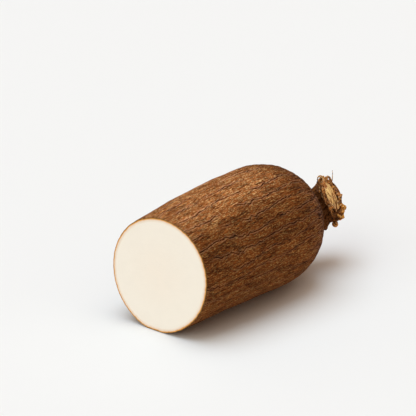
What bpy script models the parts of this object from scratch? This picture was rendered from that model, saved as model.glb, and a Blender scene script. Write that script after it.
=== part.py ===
"""White yam, cut half: a Blender script, in metres with +Z up.

The tuber lies on the floor along X. Its cut face is at the -X end and the dried base of its vine
at the +X end. The origin is on the floor under the tuber's axis, midway along it.
"""

import math

import bmesh
import bpy
import numpy as np
from mathutils import Matrix, Vector

MM = 0.001

# Tuber: driving sizes
CUT_RADIUS = 47.5 * MM
BODY_LENGTH = 176 * MM
SWELL = 0.123            # how much wider the belly is than the cut, as a share
BELLY_AT = 0.66          # where the body is widest, as a share of its length
SHOULDER_START = 0.67    # where the end begins to round off
SHOULDER_POWER = 2.3     # 2 makes the end an ellipse, more makes it squarer
CUT_TURN = math.radians(6.6)     # the cut isn't square to the axis: turned about Z
CUT_LEAN = math.radians(7.1)     # and leaning back from upright
CUT_REACH = 0.4          # share of the length over which the rings lean with the cut
REST_DEPTH = 0.6 * MM    # how much of the round underside the flat strip takes off

# Relief of the skin: wavy furrows along the body
FURROWS = 30
COLUMNS_PER_FURROW = 4
FURROW_DEPTH = 0.95 * MM
CALM_AT_CUT = 0.06       # share of the length over which the relief rises from the cut
RELIEF_AT_CUT = 0.35     # how much of the relief is left at the cut itself
# Waves over the skin, each as (size, waves along the body, waves round it, phase)
WANDER_WAVES = ((0.055, 0.9, 2, 0.5), (0.022, 2.6, 5, 1.9))     # in radians
CREST_WAVES = ((0.16 * MM, 3.7, 9, 0), (0.16 * MM, 6.5, 52, 0))
LUMP_WAVES = ((0.5 * MM, 0.8, 2, 1.0), (0.3 * MM, -1.1, 3, 0))
STRIP_HALF_ANGLE = math.radians(12)   # the underside has no relief within this angle
STRIP_FADE_ANGLE = math.radians(24)
WALL_RINGS = 22
SHOULDER_RINGS = 11

# Vine stub: driving sizes, measured along its own axis from the tip of the tuber
STUB_RISE = math.radians(12.5)   # the stub points a little upwards
STUB_TURN = math.radians(-16)    # and a little to the -Y side
FOOT_DROP = 5.5 * MM             # its foot sits lower on the tuber than its head's axis
FOOT_CLEAR_AT = 10 * MM          # up to here the foot stays straight, clear of the socket's wall
FOOT_LEVEL_AT = 36 * MM          # where the drop has run out
TENON_DEPTH = 14 * MM
SOCKET_GAP = 0.3 * MM
NECK_RADIUS = 17 * MM
COLLAR_RISE = 3.5 * MM           # a fold of bark that stands out of the neck's lower side
COLLAR_AT = 15.5 * MM
COLLAR_ANGLE = math.radians(-20)
COLLAR_HALF_WIDTH = 0.55         # in radians round the neck
COLLAR_HALF_LENGTH = 3 * MM
HEAD_RADIUS = 19.8 * MM
HEAD_AT = 28 * MM
RIM_AT = 32.5 * MM
WOOD_AT = 31.5 * MM              # top of the broken wood in the middle of the end
HOLLOW_AT = 26 * MM              # bottom of the gap between the wood and the bark
BEND = math.radians(41)          # the stub bends over, so its broken end faces half forwards and up
BEND_TOWARDS = math.radians(240)
BEND_FROM = 10 * MM
BEND_TO = 30 * MM
STUB_STEPS = 56
SPLINTER_WAVES = ((0.8 * MM, 0, 14, 0.9), (0.6 * MM, 0.5, 23, 2.0))
BROAD_WAVES = ((0.8 * MM, 0, 3, 0.4), (0.7 * MM, 0, 5, 2.2))
RAGGED_WAVES = ((1.5 * MM, 0, 7, 1.1), (1.4 * MM, 0, 12, 2.9), (0.9 * MM, 0, 2, 0))

# Bark flakes round the rim and dry buds: driving sizes
FLAKES = 15
FLAKE_THICKNESS = 1.1 * MM
FLAKE_WIDTH = (6 * MM, 12 * MM)
FLAKE_LENGTH = (5.5 * MM, 8.5 * MM)
FLAKE_CURL = (0.4, 1.7)          # how far a flake bends outwards from root to tip, in radians
FLAKE_ROOT = (-2.5 * MM, 0.5 * MM)   # from HEAD_AT
FLAKE_SUNK = 2.6 * MM            # how far inside the head's side a root starts
FLAKE_TAPER = 0.6
FLAKE_CUP = 0.3
FLAKE_RIPPLE = 0.12
BUD_RADIUS = 2.9 * MM
BUD_ANGLE = math.radians(-28)
BUD_AT = 22.5 * MM
SIDE_BUD_SHARE = 0.75
SIDE_BUD_ANGLE = math.radians(245)
SEED = 10


def smooth_step(value, start, end):
    share = np.clip((value - start) / (end - start), 0, 1)
    return share * share * (3 - 2 * share)


def belly_radius(share):
    """Radius at a share of the length, before the end is rounded off: it swells like a sine wave."""
    return CUT_RADIUS * (1 + SWELL * np.sin(0.5 * np.pi * share / BELLY_AT))


def body_radius(share):
    """The belly radius, closed at the vine end by a superellipse."""
    along = np.clip((share - SHOULDER_START) / (1 - SHOULDER_START), 0, 1)
    return belly_radius(share) * (1 - along**SHOULDER_POWER) ** (1 / SHOULDER_POWER)


def waves(terms, angle, share):
    """Sum of sine waves that run at a slant round and along a turned body."""
    total = np.zeros_like(angle)
    for size, along, around, phase in terms:
        total += size * np.sin(2 * np.pi * along * share + around * angle + phase)
    return total


def furrow_strength(furrow, share):
    """From 0 to 1: each furrow deepens and fades along its own length."""
    beat = np.sin(2 * np.pi * (1.7 + 0.5 * np.sin(2.4 * furrow)) * share + 2.1 * furrow)
    return 0.62 + 0.38 * beat


def relief(angle, share, column):
    """Height of the skin over the plain body: a furrow every few columns, uneven crests between."""
    furrow = column // COLUMNS_PER_FURROW
    in_furrow = column % COLUMNS_PER_FURROW == 0
    cut_by = np.where(in_furrow, FURROW_DEPTH * furrow_strength(furrow, share), 0)
    crest = waves(CREST_WAVES, angle, share)
    lump = waves(LUMP_WAVES, angle, share)
    from_bottom = np.abs(np.angle(np.exp(1j * (angle + 0.5 * np.pi))))
    kept = smooth_step(from_bottom, STRIP_HALF_ANGLE, STRIP_FADE_ANGLE)
    narrowing = body_radius(share) / belly_radius(share)
    from_cut = RELIEF_AT_CUT + (1 - RELIEF_AT_CUT) * smooth_step(share, 0, CALM_AT_CUT)
    return kept * ((crest - cut_by) * np.sqrt(narrowing) * from_cut + lump * narrowing)


def read_points(mesh):
    points = np.empty(len(mesh.vertices) * 3)
    mesh.vertices.foreach_get("co", points)
    return points.reshape(-1, 3)


def write_points(mesh, points):
    mesh.vertices.foreach_set("co", points.ravel())
    mesh.update()


def new_object(name, mesh, collection):
    thing = bpy.data.objects.new(name, mesh)
    collection.objects.link(thing)
    return thing


def applied(thing):
    """The object's mesh with its modifiers applied, as a new mesh."""
    graph = bpy.context.evaluated_depsgraph_get()
    return bpy.data.meshes.new_from_object(thing.evaluated_get(graph))


def turned(name, profile, steps, collection):
    """A closed mesh turned about Z from (radius, height) pairs that run down its outer side."""
    mesh = bpy.data.meshes.new(name)
    points = [(radius, 0, height) for radius, height in profile]
    edges = [(i, i + 1) for i in range(len(points) - 1)]
    mesh.from_pydata(points, edges, [])
    thing = new_object(name, mesh, collection)
    screw = thing.modifiers.new("turn", "SCREW")
    screw.steps = steps
    screw.render_steps = steps
    screw.use_merge_vertices = True
    screw.merge_threshold = 0.00001
    thing.data = applied(thing)
    thing.modifiers.clear()
    bpy.data.meshes.remove(mesh)
    return thing


def tuber_profile():
    """From the tip down the wall to the cut, then across the cut face to its centre."""
    wall = np.linspace(0, SHOULDER_START, WALL_RINGS, endpoint=False)
    turn = np.linspace(0, 0.5 * np.pi, SHOULDER_RINGS + 1)
    shoulder = SHOULDER_START + (1 - SHOULDER_START) * np.sin(turn)
    shares = np.concatenate([wall, shoulder])[::-1]
    heights = shares * BODY_LENGTH
    outline = [(radius, height) for radius, height in zip(body_radius(shares), heights)]
    outline[0] = (0, BODY_LENGTH)
    return outline + [(CUT_RADIUS * 0.5, 0), (0, 0)]


def lay_tuber(mesh):
    """Turns the standing solid of revolution into the lying yam: relief, oblique cut, flat underside."""
    points = read_points(mesh)
    share = points[:, 2] / BODY_LENGTH
    angle = np.arctan2(points[:, 1], points[:, 0])
    plain = np.hypot(points[:, 0], points[:, 1])
    columns = FURROWS * COLUMNS_PER_FURROW
    column = np.rint(angle / (2 * np.pi) * columns).astype(int) % columns
    on_wall = (plain > 0.9 * body_radius(share)) & (plain > 0)
    turned_angle = angle + waves(WANDER_WAVES, angle, share)
    radius = plain + np.where(on_wall, relief(turned_angle, share, column), 0)
    across = radius * np.cos(turned_angle)
    upward = radius * np.sin(turned_angle)
    lean = np.clip(1 - share / CUT_REACH, 0, None) ** 1.3
    oblique = across * math.tan(CUT_TURN) - upward * math.tan(CUT_LEAN) / math.cos(CUT_TURN)
    x = points[:, 2] - BODY_LENGTH / 2 - oblique * lean
    z = upward + belly_radius(share) - REST_DEPTH
    write_points(mesh, np.column_stack([x, across, np.maximum(z, 0)]))


def stub_frame():
    """Matrix that lays the stub, modelled upright along Z, on the tuber's tip. Its X then points down."""
    tip = Vector((BODY_LENGTH / 2, 0, float(belly_radius(1.0)) - REST_DEPTH))
    rise = Matrix.Rotation(math.radians(90) - STUB_RISE, 4, "Y")
    turn = Matrix.Rotation(STUB_TURN, 4, "Z")
    return Matrix.Translation(tip) @ turn @ rise


def foot_drop(height):
    """How far below the head's axis the stub's middle lies at a height along it."""
    return FOOT_DROP * (1 - smooth_step(height, FOOT_CLEAR_AT, FOOT_LEVEL_AT))


def cut_socket(tuber, cutters):
    """A plain round recess at the tip, which the foot of the stub stands in."""
    cutter_length = 3 * TENON_DEPTH
    bpy.ops.mesh.primitive_cylinder_add(
        vertices=STUB_STEPS,
        radius=NECK_RADIUS + SOCKET_GAP,
        depth=cutter_length,
    )
    cutter = bpy.context.object
    cutter.name = "socket_cutter"
    for other in list(cutter.users_collection):
        other.objects.unlink(cutter)
    cutters.objects.link(cutter)
    middle = cutter_length / 2 - TENON_DEPTH - SOCKET_GAP
    cutter.data.transform(stub_frame() @ Matrix.Translation((FOOT_DROP, 0, middle)))
    cutter.hide_render = True
    cutter.display_type = "WIRE"
    boolean = tuber.modifiers.new("socket", "BOOLEAN")
    boolean.operation = "DIFFERENCE"
    boolean.object = cutter


def make_tuber(collection, cutters):
    tuber = turned("tuber", tuber_profile(), FURROWS * COLUMNS_PER_FURROW, collection)
    lay_tuber(tuber.data)
    cut_socket(tuber, cutters)
    tuber.data.shade_smooth()
    tuber.data.set_sharp_from_angle(angle=math.radians(40))
    return tuber


def stub_profile():
    """Down the stub's outer side: broken wood, gap, ragged rim of bark, flared head, neck and foot."""
    return [
        (0, WOOD_AT),
        (0.25 * HEAD_RADIUS, WOOD_AT),
        (0.50 * HEAD_RADIUS, WOOD_AT - 1 * MM),
        (0.60 * HEAD_RADIUS, WOOD_AT - 3 * MM),
        (0.66 * HEAD_RADIUS, HOLLOW_AT),
        (0.76 * HEAD_RADIUS, HOLLOW_AT + 1 * MM),
        (0.84 * HEAD_RADIUS, RIM_AT - 0.5 * MM),
        (0.93 * HEAD_RADIUS, RIM_AT),
        (HEAD_RADIUS, RIM_AT - 2.5 * MM),
        (HEAD_RADIUS, HEAD_AT - 1 * MM),
        (0.90 * HEAD_RADIUS, HEAD_AT - 4 * MM),
        (0.98 * NECK_RADIUS, HEAD_AT - 7 * MM),
        (0.96 * NECK_RADIUS, COLLAR_AT + 2.5 * MM),
        (NECK_RADIUS, COLLAR_AT),
        (NECK_RADIUS, COLLAR_AT - 2.5 * MM),
        (NECK_RADIUS, FOOT_CLEAR_AT),
        (NECK_RADIUS, -TENON_DEPTH),
        (0, -TENON_DEPTH),
    ]


def roughen_stub(mesh):
    """Splits the turned core into lengthwise splinters, raises a ragged rim and drops its foot."""
    points = read_points(mesh)
    angle = np.arctan2(points[:, 1], points[:, 0])
    radius = np.hypot(points[:, 0], points[:, 1])
    height = points[:, 2]
    outside = smooth_step(radius, 5 * MM, 14 * MM)
    above_foot = smooth_step(height, FOOT_CLEAR_AT, COLLAR_AT) * outside
    towards_rim = smooth_step(height, HEAD_AT - 6 * MM, RIM_AT) * outside
    rough = waves(SPLINTER_WAVES + BROAD_WAVES, angle, height / RIM_AT)
    ragged = waves(RAGGED_WAVES, angle, height / RIM_AT)
    beside_collar = (angle - COLLAR_ANGLE) / COLLAR_HALF_WIDTH
    above_collar = (height - COLLAR_AT) / COLLAR_HALF_LENGTH
    collar = COLLAR_RISE * np.exp(-(beside_collar**2) - above_collar**2)
    radius = radius + above_foot * (rough + collar)
    x = radius * np.cos(angle) + foot_drop(height)
    y = radius * np.sin(angle)
    write_points(mesh, np.column_stack([x, y, height + towards_rim * ragged]))


def bark_flake(name, angle, width, length, curl, root, collection):
    """A curled strip of dry bark: a thin bent grid with a thickness, its root sunk in the head's side."""
    mesh = bpy.data.meshes.new(name)
    sheet = bmesh.new()
    bmesh.ops.create_grid(sheet, x_segments=4, y_segments=6, size=0.5)
    sheet.to_mesh(mesh)
    sheet.free()
    points = read_points(mesh)
    across = points[:, 0]
    along = points[:, 1] + 0.5
    side = width * (1 - FLAKE_TAPER * along**2) * across
    outward = length * (1 - np.cos(curl * along)) / curl - FLAKE_CUP * width * across**2
    upward = length * np.sin(curl * along) / curl + FLAKE_RIPPLE * width * np.sin(8 * across + angle)
    write_points(mesh, np.column_stack([HEAD_RADIUS - FLAKE_SUNK + outward, side, root + upward]))
    mesh.transform(Matrix.Rotation(angle, 4, "Z"))
    flake = new_object(name, mesh, collection)
    thickness = flake.modifiers.new("thickness", "SOLIDIFY")
    thickness.thickness = FLAKE_THICKNESS
    thickness.offset = 0
    return flake


def bud(name, angle, radius, height, collection):
    """A drop-shaped dry bud that stands out of the side of the head."""
    mesh = bpy.data.meshes.new(name)
    ball = bmesh.new()
    bmesh.ops.create_icosphere(ball, subdivisions=2, radius=radius)
    ball.to_mesh(mesh)
    ball.free()
    outward = Matrix.Translation((HEAD_RADIUS + 0.5 * radius, 0, height))
    mesh.transform(Matrix.Rotation(angle, 4, "Z") @ outward @ Matrix.Diagonal((2, 1, 1.1, 1)))
    return new_object(name, mesh, collection)


def add_flakes(collection):
    """Bark flakes round the rim, by a rule with a seeded draw, and two buds under it."""
    draw = np.random.default_rng(SEED)
    for i in range(FLAKES):
        angle = 2 * math.pi * (i + 0.6 * draw.random()) / FLAKES
        width = draw.uniform(*FLAKE_WIDTH)
        length = draw.uniform(*FLAKE_LENGTH)
        curl = draw.uniform(*FLAKE_CURL)
        root = HEAD_AT + draw.uniform(*FLAKE_ROOT)
        bark_flake(f"flake_{i}", angle, width, length, curl, root, collection)
    bud("bud_low", BUD_ANGLE, BUD_RADIUS, BUD_AT, collection)
    bud("bud_side", SIDE_BUD_ANGLE, SIDE_BUD_SHARE * BUD_RADIUS, RIM_AT - 2 * MM, collection)


def bend_stub(mesh):
    """Bends the straight stub over to one side: its rings turn more and more along an arc."""
    points = read_points(mesh)
    aim = np.array([math.cos(BEND_TOWARDS), math.sin(BEND_TOWARDS)])
    square = np.array([-aim[1], aim[0]])
    forward = points[:, :2] @ aim
    sideways = points[:, :2] @ square
    height = points[:, 2]
    arc_radius = (BEND_TO - BEND_FROM) / BEND
    turn = np.clip(height - BEND_FROM, 0, BEND_TO - BEND_FROM) / arc_radius
    straight = np.minimum(height, BEND_FROM)
    beyond = np.maximum(height - BEND_TO, 0)
    reach = arc_radius - (arc_radius - forward) * np.cos(turn) + beyond * np.sin(turn)
    rise = straight + (arc_radius - forward) * np.sin(turn) + beyond * np.cos(turn)
    flat = np.outer(reach, aim) + np.outer(sideways, square)
    write_points(mesh, np.column_stack([flat, rise]))


def make_stub(collection):
    pieces = bpy.data.collections.new("stub_pieces")
    bpy.context.scene.collection.children.link(pieces)
    stub = turned("vine_stub", stub_profile(), STUB_STEPS, collection)
    roughen_stub(stub.data)
    add_flakes(pieces)
    union = stub.modifiers.new("union", "BOOLEAN")
    union.operation = "UNION"
    union.solver = "MANIFOLD"
    union.operand_type = "COLLECTION"
    union.collection = pieces
    stub.data = applied(stub)
    stub.modifiers.clear()
    for piece in list(pieces.objects):
        bpy.data.objects.remove(piece)
    bpy.data.collections.remove(pieces)
    bend_stub(stub.data)
    stub.data.transform(stub_frame())
    stub.data.shade_smooth()
    stub.data.set_sharp_from_angle(angle=math.radians(40))
    return stub


def finish(thing, name, colour, roughness):
    """Gives the object its own Principled material."""
    material = bpy.data.materials.new(name)
    material.use_nodes = True
    shader = material.node_tree.nodes["Principled BSDF"]
    shader.inputs["Base Color"].default_value = (*colour, 1)
    shader.inputs["Roughness"].default_value = roughness
    shader.inputs["Metallic"].default_value = 0
    thing.data.materials.append(material)


def main():
    for thing in list(bpy.data.objects):
        bpy.data.objects.remove(thing)
    collection = bpy.data.collections.new("white_yam_half")
    cutters = bpy.data.collections.new("cutters")
    bpy.context.scene.collection.children.link(collection)
    bpy.context.scene.collection.children.link(cutters)
    tuber = make_tuber(collection, cutters)
    stub = make_stub(collection)
    finish(tuber, "yam_skin", (0.21, 0.10, 0.045), 0.85)
    finish(stub, "dry_vine", (0.36, 0.19, 0.07), 0.8)


main()
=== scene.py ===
"""Cut half of a white yam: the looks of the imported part.

Laid out as a Blender add-on and run as a script. Each operator makes one piece, and main() calls
them in order. Lengths are in metres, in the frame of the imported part: the tuber lies along X with its
cut face at -X, and the floor is at z = 0.
"""

import math

import bpy
import numpy as np
from bpy.props import FloatProperty, FloatVectorProperty, PointerProperty
from bpy.types import Operator, Panel, PropertyGroup
from mathutils import Matrix, Vector


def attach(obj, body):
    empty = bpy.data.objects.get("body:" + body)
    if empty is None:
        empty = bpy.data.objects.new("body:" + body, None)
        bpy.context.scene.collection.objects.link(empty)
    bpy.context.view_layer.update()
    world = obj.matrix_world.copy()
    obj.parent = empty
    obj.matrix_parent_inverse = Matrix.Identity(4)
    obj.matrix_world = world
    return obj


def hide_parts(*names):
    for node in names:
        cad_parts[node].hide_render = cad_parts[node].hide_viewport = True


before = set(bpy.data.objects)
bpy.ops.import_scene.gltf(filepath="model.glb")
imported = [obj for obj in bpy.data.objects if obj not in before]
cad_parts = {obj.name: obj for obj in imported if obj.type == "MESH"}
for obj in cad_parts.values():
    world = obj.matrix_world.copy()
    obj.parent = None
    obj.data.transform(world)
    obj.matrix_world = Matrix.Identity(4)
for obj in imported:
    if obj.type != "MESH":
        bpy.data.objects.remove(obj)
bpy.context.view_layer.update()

bl_info = {
    "name": "White Yam Half",
    "version": (1, 0, 0),
    "blender": (4, 5, 0),
    "location": "3D View > Sidebar > Yam",
    "description": "Dresses the packed half yam: rough skin, cut flesh and dried vine stub",
    "category": "Object",
}

MM = 0.001

# Tuber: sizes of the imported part
CUT_RADIUS = 47.5 * MM
BODY_LENGTH = 176 * MM
SWELL = 0.123
BELLY_AT = 0.66
SHOULDER_START = 0.67
SHOULDER_POWER = 2.3
CUT_TURN = math.radians(6.6)
CUT_LEAN = math.radians(7.1)
CUT_REACH = 0.4
REST_DEPTH = 0.6 * MM
FURROWS = 30
CALM_AT_CUT = 0.06
RELIEF_AT_CUT = 0.35
WANDER_WAVES = ((0.055, 0.9, 2, 0.5), (0.022, 2.6, 5, 1.9))
CREST_WAVES = ((0.16 * MM, 3.7, 9, 0), (0.16 * MM, 6.5, 52, 0))
LUMP_WAVES = ((0.5 * MM, 0.8, 2, 1.0), (0.3 * MM, -1.1, 3, 0))
STRIP_HALF_ANGLE = math.radians(12)
STRIP_FADE_ANGLE = math.radians(24)

# Tuber: what the looks add
COLUMNS = 416
WALL_RINGS = 116
SHOULDER_RINGS = 82
SHOULDER_STOP = 0.9985       # the rings end here, inside the vine stub, and a fan closes the tip
BEVEL = 0.35 * MM            # the knife's edge is worn round by this much
FACE_INSETS = (0.35, 0.7, 1.1, 1.6, 2.2, 3.0, 4.2, 7, 12, 19, 28, 38, 45)   # mm in from the rim
FURROW_HALF_WIDTH = 3.2 * MM
STRAY = 0.16                 # how far a crack strays from its furrow's line, in furrow spacings
ROUGH_HEIGHT = 0.16 * MM     # height of the fine roughness between the cracks
COARSE_CELLS = (128, 34)     # cells of that roughness, round the tuber and along it
FINE_CELLS = (208, 70)
PAINTED_SHADE_ANGLE = math.radians(152)   # painted shade is darkest here, just under the upper side, where the light falls off
SHARP_FROM = math.radians(50)    # edges that turn by more than this are shaded sharp

# Vine stub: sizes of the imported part
STUB_RISE = math.radians(12.5)
STUB_TURN = math.radians(-16)
FOOT_DROP = 5.5 * MM
FOOT_CLEAR_AT = 10 * MM
FOOT_LEVEL_AT = 36 * MM
TENON_DEPTH = 14 * MM
NECK_RADIUS = 17 * MM
COLLAR_RISE = 3.5 * MM
COLLAR_AT = 15.5 * MM
COLLAR_ANGLE = math.radians(-20)
COLLAR_HALF_WIDTH = 0.55
COLLAR_HALF_LENGTH = 3 * MM
HEAD_RADIUS = 19.8 * MM
HEAD_AT = 28 * MM
RIM_AT = 32.5 * MM
WOOD_AT = 31.5 * MM
HOLLOW_AT = 26 * MM
BEND = math.radians(41)
BEND_TOWARDS = math.radians(240)
BEND_FROM = 10 * MM
BEND_TO = 30 * MM
SPLINTER_WAVES = ((0.8 * MM, 0, 14, 0.9), (0.6 * MM, 0.5, 23, 2.0))
BROAD_WAVES = ((0.8 * MM, 0, 3, 0.4), (0.7 * MM, 0, 5, 2.2))
RAGGED_WAVES = ((1.5 * MM, 0, 7, 1.1), (1.4 * MM, 0, 12, 2.9), (0.9 * MM, 0, 2, 0))
FLAKES = 15
FLAKE_WIDTH = (6 * MM, 12 * MM)
FLAKE_LENGTH = (5.5 * MM, 8.5 * MM)
FLAKE_CURL = (0.4, 1.7)
FLAKE_ROOT = (-2.5 * MM, 0.5 * MM)
FLAKE_SUNK = 2.6 * MM
FLAKE_CUP = 0.3
FLAKE_RIPPLE = 0.12
BUD_RADIUS = 2.9 * MM
BUD_ANGLE = math.radians(-28)
BUD_AT = 22.5 * MM
SIDE_BUD_ANGLE = math.radians(245)
FLAKE_SEED = 10

# Vine stub: what the looks add
BLUNT_TAPER = 0.35                   # a flake's tip is drawn in by this share of its width
BARK_COLUMNS = 256
BARK_RINGS = 120
WOOD_COLUMNS = 160
WOOD_RINGS = 48                      # over the top of the wood
WOOD_WALL_RINGS = 8                  # and down its side
FLAKE_ACROSS = 13
FLAKE_ALONG = 15
RIBBON_COLUMNS = 10
TUBE_COLUMNS = 7
LUMP_COLUMNS = 18
LUMP_RINGS = 12
WOOD_RADIUS = 15.0 * MM
WOOD_DOME = 3.4 * MM                 # how far the torn wood bulges over the rim
WOOD_ASIDE = (-1.5 * MM, 0.2 * MM)   # the wood sits off the middle of the rim by this much
NEAR_SIDE = math.radians(235)        # the side that the head is bent towards, where the rim is worn low and bark and wood are painted darker as shade
AWAY_SIDE = math.radians(40)         # the side away from the cut, where the flakes are shorter
RIM_GAP = math.radians(-58)          # the bark is hollow here, beside the wood, and painted dark as shade
RIM_DIP = math.radians(184)          # the rim dips here, beside the curled scroll; flakes there get painted shade
WOOD_HOLLOW = math.radians(188)      # the edge of the wood is torn out here
WOOD_NOTCH = math.radians(328)       # and it is drawn in a little here
SCROLL_ANGLE = math.radians(163)     # where the curled scroll sits on the rim
FIBRE_ANGLE = math.radians(100)      # where the thin fibre stands on the rim
FIBRE_REACH = (0.6 * MM, 0.4 * MM, 10.8 * MM)
FIBRE_SWAY = (0.4 * MM, -0.3 * MM, 0)
GRAIN_ANGLE = math.radians(-30)      # the torn fibres of the wood lie along this direction
NEAR_WORN = 2.6 * MM                 # how far the rim is worn down on the near side
DIP_DEPTH = 1.2 * MM
WOOD_SIDE = (0.5 * MM, 6.5 * MM)     # how deep the side of the wood begins and ends
WOOD_RIDGES = 1.5 * MM
WOOD_LOBES = 0.8 * MM
WOOD_GROOVE = 1.4 * MM
WOOD_TORN_OUT = 3.2 * MM
FLAKE_THICKNESS = 0.8 * MM

# Vine stub: numbers and ranges for the seeded draws of small parts, lengths in millimetres
DETAIL_SEED = 4
SMALL_FLAKES = 26
SMALL_FLAKE_WIDTH = (2.5, 5.0)
SMALL_FLAKE_LENGTH = (2.5, 4.5)
SMALL_FLAKE_THICKNESS = 0.55
SMALL_FLAKE_CURL = (0.8, 2.4)        # radians
SMALL_FLAKE_ROOT = (25, 31)
SPLINTERS = 16
SPLINTER_RADIUS = (14.5, 18)
SPLINTER_ROOT = 26.5
SPLINTER_LENGTH = (3, 6.5)
SPLINTER_THICKNESS = (0.35, 0.7)
SPLINTER_LEAN = (-0.3, 0.55)         # radians
SPLINTER_TWIST = (-0.25, 0.25)       # radians
CRUMBS = 34
CRUMB_ANGLE = (20, 165)              # degrees
CRUMB_RADIUS = (16.0, 17.5)
CRUMB_HEIGHT = (-2.1, -0.6)          # over the rim
CRUMB_SIZE = (0.7, 1.2)

# Slivers of bark: angle of the middle and five eighths of the span in degrees, radius, height, width and
# thickness in millimetres, tone and paleness
SLIVERS = (
    (192, 52, 18.6, 28.2, 2.2, 0.8, 0.2, 0.45), (205, 44, 18.0, 29.4, 1.4, 0.8, 0.5, 0.8),
    (222, 60, 19.0, 27.0, 2.6, 0.8, 0.1, 0.2), (236, 44, 18.0, 29.2, 1.4, 0.8, 0.4, 0.6),
    (252, 56, 18.8, 28.0, 2.4, 0.8, 0.25, 0.3), (268, 36, 17.6, 30.0, 1.3, 0.8, 0.6, 0.8),
    (284, 40, 19.0, 28.8, 2.2, 0.8, 0.2, 0.2), (280, 46, 14.8, 31.6, 1.3, 0.8, 0.7, 1.3),
    (166, 34, 18.2, 31.0, 1.4, 0.8, 0.6, 0.9), (-38, 40, 19.6, 32.8, 3.4, 2.2, 1.0, 0.35),
    (-30, 24, 20.6, 31.0, 2.6, 1.8, 0.8, 0.5), (60, 60, 18.2, 33.4, 1.8, 1.0, 0.5, 0.9),
    (112, 50, 18.6, 33.2, 2.0, 1.0, 0.6, 1.0), (84, 40, 17.0, 32.6, 1.6, 0.9, 0.3, 0.5),
)

# Studio: the camera looks at LOOK_AT from AZIMUTH and ELEVATION
LENS = 130.0                         # mm
SENSOR_WIDTH = 36.0                  # mm
VIEW_DEPTH = 50.0
AZIMUTH = math.radians(-46.2)
ELEVATION = math.radians(22)
DISTANCE = 1.346
LOOK_AT = (0.0472, 0.0749, 0.045)
LIGHT_SPREAD = math.radians(50)      # how wide the lights look from the part
KEY_FROM = (-0.11, 0.19, 0.97)
KEY_COLOUR = (0.69, 0.853, 1.0)
CUT_SIDE_FROM = (-0.85, 0.0, 0.53)
CUT_SIDE_COLOUR = (0.898, 1.0, 0.972)
VINE_SIDE_FROM = (0.47, 0.0, 0.88)
VINE_SIDE_COLOUR = (1.0, 0.94, 0.87)
FLOOR_RADIUS = 9.0
FLOOR_SIDES = 128
FLOOR_THICKNESS = 10 * MM
FLOOR_GAP = 0.2 * MM                 # the floor lies this far under the part, so they share no face


def from_screen(red, green, blue):
    """Colour values from 0 to 255, as a screen shows them, to the linear ones that shaders take: a straight
    line near black, and a power of 2.4 above it."""
    share = np.array([red, green, blue]) / 255
    linear = np.where(share <= 0.04045, share / 12.92, ((share + 0.055) / 1.055) ** 2.4)
    return tuple(float(part) for part in linear)


# Settings


class SkinSettings(PropertyGroup):
    """Sizes and colours of the skin."""

    furrow_depth: FloatProperty(
        name="Furrow depth",
        description="Depth of the broad lengthwise furrows",
        default=0.4 * MM, min=0, max=1.5 * MM, precision=5, unit="LENGTH",
    )
    crack_depth: FloatProperty(
        name="Crack depth",
        description="Depth of the narrow crack at the bottom of a furrow",
        default=0.5 * MM, min=0, max=1.2 * MM, precision=5, unit="LENGTH",
    )
    crack_width: FloatProperty(
        name="Crack width",
        description="Half the width of a crack",
        default=0.42 * MM, min=0.3 * MM, max=2 * MM, precision=5, unit="LENGTH",
    )
    lip_height: FloatProperty(
        name="Lip height",
        description="How far the skin is raised along the lower side of a crack",
        default=0.16 * MM, min=0, max=1 * MM, precision=5, unit="LENGTH",
    )
    base: FloatVectorProperty(
        name="Skin", description="Main colour of the dry skin",
        default=from_screen(201, 120, 63), size=3, min=0, max=1, subtype="COLOR",
    )
    dark: FloatVectorProperty(
        name="Dark skin", description="Colour in the cracks and between the fibres",
        default=from_screen(54, 20, 7), size=3, min=0, max=1, subtype="COLOR",
    )
    light: FloatVectorProperty(
        name="Scurf", description="Colour of the flaking, lighter scurf",
        default=from_screen(255, 206, 140), size=3, min=0, max=1, subtype="COLOR",
    )
    # the lip is raised in the relief, and its pale colour is a painted highlight where it catches the light
    lip: FloatVectorProperty(
        name="Crack lip", description="Colour of the raised lip beside a crack",
        default=from_screen(214, 158, 124), size=3, min=0, max=1, subtype="COLOR",
    )
    rosy: FloatVectorProperty(
        name="Rosy skin", description="Duller, rosier colour of the ridges towards the vine",
        default=from_screen(178, 130, 104), size=3, min=0, max=1, subtype="COLOR",
    )
    # painted shade: the skin's colour is multiplied by this on the sides, away from the top where light
    # falls
    shade: FloatVectorProperty(
        name="Darker sides",
        description="What the skin's colour is multiplied by away from its dusty upper side",
        default=(0.525, 0.46, 0.35), size=3, min=0, max=1, subtype="COLOR",
    )


class FleshSettings(PropertyGroup):
    """Colours of the cut face."""

    flesh: FloatVectorProperty(
        name="Flesh", description="Colour of the cut flesh",
        default=from_screen(250, 241, 227), size=3, min=0, max=1, subtype="COLOR",
    )
    heart: FloatVectorProperty(
        name="Heart", description="Slightly pinker colour in the middle of the cut",
        default=from_screen(250, 239, 224), size=3, min=0, max=1, subtype="COLOR",
    )
    peel: FloatVectorProperty(
        name="Peel line", description="Colour of the peel seen on the cut",
        default=from_screen(222, 152, 58), size=3, min=0, max=1, subtype="COLOR",
    )
    peel_width: FloatProperty(
        name="Peel width", description="Width of the line that the peel makes round the cut",
        default=1.7 * MM, min=0.5 * MM, max=4 * MM, precision=5, unit="LENGTH",
    )


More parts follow.
